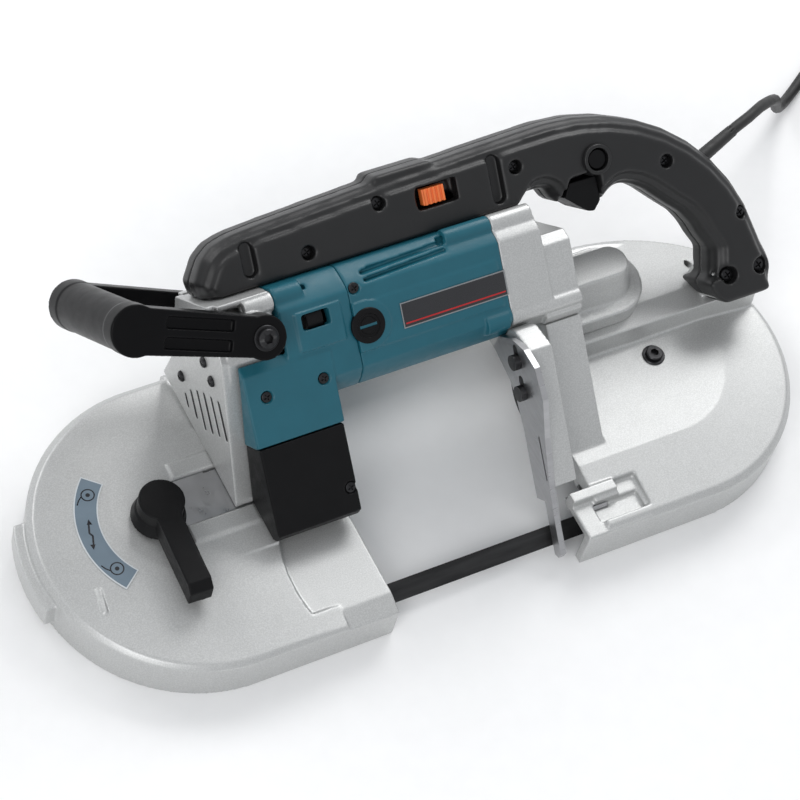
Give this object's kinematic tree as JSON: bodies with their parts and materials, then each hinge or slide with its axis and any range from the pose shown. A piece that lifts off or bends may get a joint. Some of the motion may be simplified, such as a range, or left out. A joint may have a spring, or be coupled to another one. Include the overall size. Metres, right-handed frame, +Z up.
{
  "type": "horizontal band saw",
  "caption": "Portable deep-cut band saw lying on its back: two wheel housings, motor, D handle, front handle, tension lever and stopper plate.",
  "frame": {"origin": "centre of the bounding box in X and Y without the cord, on the resting face", "axes": "+X along the blade from the idler wheel to the drive wheel, +Y from the cutting span of the blade to its return span, +Z up, along the wheel axles"},
  "size_m": [0.7945, 0.317, 0.1778],
  "materials": {
    "cast_aluminium": "satin silver paint on cast aluminium",
    "blue_plastic": "moulded blue-green plastic, semi-gloss",
    "black_plastic": "moulded black plastic, fine texture",
    "black_cast": "black paint on a die-cast lever",
    "soft_grip": "moulded black plastic, polished edges",
    "black_rubber": "matt black rubber",
    "tyre_rubber": "ground rubber",
    "steel_parts": "turned or pressed steel",
    "wheel_metal": "turned aluminium",
    "dark_screws": "blackened steel",
    "blade_steel": "dark blade steel",
    "bronze": "cut bronze",
    "motor_steel": "lacquered laminations and winding",
    "label_film": "printed film",
    "nameplate_film": "dark film with a red line",
    "lamp_lens": "clear lens",
    "orange_plastic": "orange plastic"
  },
  "bodies": {
    "frame": {"main_frame": "cast_aluminium", "left_bracket": "cast_aluminium", "bracket_screws": "dark_screws", "gear_housing": "cast_aluminium", "gear_cover": "cast_aluminium", "stop_arm": "cast_aluminium", "stopper_screws": "dark_screws", "housing_bolt": "dark_screws", "blade": "blade_steel", "drive_bearings": "steel_parts", "bearing_plate": "cast_aluminium", "tension_spring": "steel_parts", "tension_label": "label_film", "left_guide": "steel_parts", "right_guide": "steel_parts", "motor_housing": "blue_plastic", "rear_cover": "blue_plastic", "stator": "motor_steel", "motor_bearings": "steel_parts", "brushes": "black_plastic", "brush_caps": "black_plastic", "cover_screws": "dark_screws", "nameplate": "nameplate_film", "lamp_housing": "black_plastic", "lamp": "lamp_lens", "handle_front": "black_plastic", "handle_rear": "black_plastic", "handle_screws": "dark_screws", "switch_body": "black_plastic", "front_handle": "soft_grip", "front_handle_bolts": "dark_screws", "cord_guard": "black_rubber", "cord": "black_rubber", "cord_coil": "black_rubber", "plug": "black_rubber"},
    "lever": {"tension_lever": "black_cast", "cam_shaft": "steel_parts"},
    "carriage": {"tension_carriage": "steel_parts", "idler_axle": "steel_parts"},
    "idler": {"idler_wheel": "wheel_metal", "idler_tyre": "tyre_rubber", "idler_bearings": "steel_parts"},
    "drive": {"drive_wheel": "wheel_metal", "drive_tyre": "tyre_rubber", "drive_shaft": "steel_parts", "worm_wheel": "bronze"},
    "worm": {"worm_shaft": "steel_parts"},
    "idler_gear": {"intermediate_shaft": "steel_parts"},
    "rotor": {"armature": "motor_steel"},
    "plate": {"stopper_plate": "steel_parts"},
    "trigger": {"trigger": "black_plastic"},
    "lock": {"lock_button": "black_plastic"},
    "lamp_slider": {"lamp_switch": "orange_plastic"},
    "dial": {"speed_dial": "black_plastic"},
    "left_roller_outer_b": {"left_roller_outer": "steel_parts"},
    "left_roller_inner_b": {"left_roller_inner": "steel_parts"},
    "left_roller_back_b": {"left_roller_back": "steel_parts"},
    "right_roller_outer_b": {"right_roller_outer": "steel_parts"},
    "right_roller_inner_b": {"right_roller_inner": "steel_parts"},
    "right_roller_back_b": {"right_roller_back": "steel_parts"}
  },
  "joints": [
    {"name": "lever_turn", "type": "hinge", "parent": "frame", "child": "lever", "pos_m": [-0.1765, -0.015, 0.04], "axis": [0, 0, -1], "range_deg": [0, 75]},
    {"name": "carriage_slide", "type": "slide", "parent": "frame", "child": "carriage", "axis": [1, 0, 0], "range_m": [0, 0.008]},
    {"name": "idler_spin", "type": "hinge", "parent": "carriage", "child": "idler", "pos_m": [-0.1555, -0.022, 0.0125], "axis": [0, 0, 1], "continuous": true},
    {"name": "drive_spin", "type": "hinge", "parent": "frame", "child": "drive", "pos_m": [0.1625, -0.022, 0.0125], "axis": [0, 0, 1], "continuous": true},
    {"name": "worm_spin", "type": "hinge", "parent": "frame", "child": "worm", "pos_m": [0.1235, 0.02, 0.03], "axis": [1, 0, 0], "continuous": true},
    {"name": "idler_gear_spin", "type": "hinge", "parent": "frame", "child": "idler_gear", "pos_m": [0.1235, 0.028, 0.066], "axis": [1, 0, 0], "continuous": true},
    {"name": "rotor_spin", "type": "hinge", "parent": "frame", "child": "rotor", "pos_m": [0.0035, 0.04305, 0.09899], "axis": [1, 0, 0], "continuous": true},
    {"name": "left_roller_outer_spin", "type": "hinge", "parent": "frame", "child": "left_roller_outer_b", "pos_m": [-0.0825, -0.10647, 0.01632], "axis": [0, 0.7071, 0.7071], "continuous": true},
    {"name": "left_roller_inner_spin", "type": "hinge", "parent": "frame", "child": "left_roller_inner_b", "pos_m": [-0.0825, -0.09883, 0.00868], "axis": [0, 0.7071, 0.7071], "continuous": true},
    {"name": "left_roller_back_spin", "type": "hinge", "parent": "frame", "child": "left_roller_back_b", "pos_m": [-0.0771, -0.09551, 0.01964], "axis": [0, -0.7071, 0.7071], "continuous": true},
    {"name": "right_roller_outer_spin", "type": "hinge", "parent": "frame", "child": "right_roller_outer_b", "pos_m": [0.0835, -0.10647, 0.01632], "axis": [0, 0.7071, 0.7071], "continuous": true},
    {"name": "right_roller_inner_spin", "type": "hinge", "parent": "frame", "child": "right_roller_inner_b", "pos_m": [0.0835, -0.09883, 0.00868], "axis": [0, 0.7071, 0.7071], "continuous": true},
    {"name": "right_roller_back_spin", "type": "hinge", "parent": "frame", "child": "right_roller_back_b", "pos_m": [0.0889, -0.09551, 0.01964], "axis": [0, -0.7071, 0.7071], "continuous": true},
    {"name": "plate_slide", "type": "slide", "parent": "frame", "child": "plate", "axis": [0, -0.7071, -0.7071], "range_m": [0, 0.008]},
    {"name": "trigger_press", "type": "slide", "parent": "frame", "child": "trigger", "axis": [0, 0.7071, 0.7071], "range_m": [0, 0.0035], "stiffness_N_per_m": 900, "springref_m": -0.003},
    {"name": "lock_press", "type": "slide", "parent": "frame", "child": "lock", "axis": [0, 0.7071, -0.7071], "range_m": [0, 0.003], "stiffness_N_per_m": 500, "springref_m": -0.003},
    {"name": "lamp_slide", "type": "slide", "parent": "frame", "child": "lamp_slider", "axis": [1, 0, 0], "range_m": [0, 0.005]},
    {"name": "dial_turn", "type": "hinge", "parent": "frame", "child": "dial", "pos_m": [-0.0675, 0.03273, 0.12799], "axis": [1, 0, 0], "range_deg": [0, 270]}
  ],
  "couplings": [
    {"joint": "carriage_slide", "follows": "lever_turn", "m_per_rad": 0.0061116},
    {"joint": "idler_spin", "follows": "drive_spin", "ratio": 1},
    {"joint": "worm_spin", "follows": "drive_spin", "ratio": 36},
    {"joint": "idler_gear_spin", "follows": "drive_spin", "ratio": -10.667},
    {"joint": "rotor_spin", "follows": "drive_spin", "ratio": 38.4},
    {"joint": "left_roller_outer_spin", "follows": "drive_spin", "ratio": -16.13},
    {"joint": "right_roller_outer_spin", "follows": "drive_spin", "ratio": -16.13},
    {"joint": "left_roller_inner_spin", "follows": "drive_spin", "ratio": 16.13},
    {"joint": "right_roller_inner_spin", "follows": "drive_spin", "ratio": 16.13},
    {"joint": "left_roller_back_spin", "follows": "drive_spin", "ratio": 23.721},
    {"joint": "right_roller_back_spin", "follows": "drive_spin", "ratio": 23.721}
  ]
}
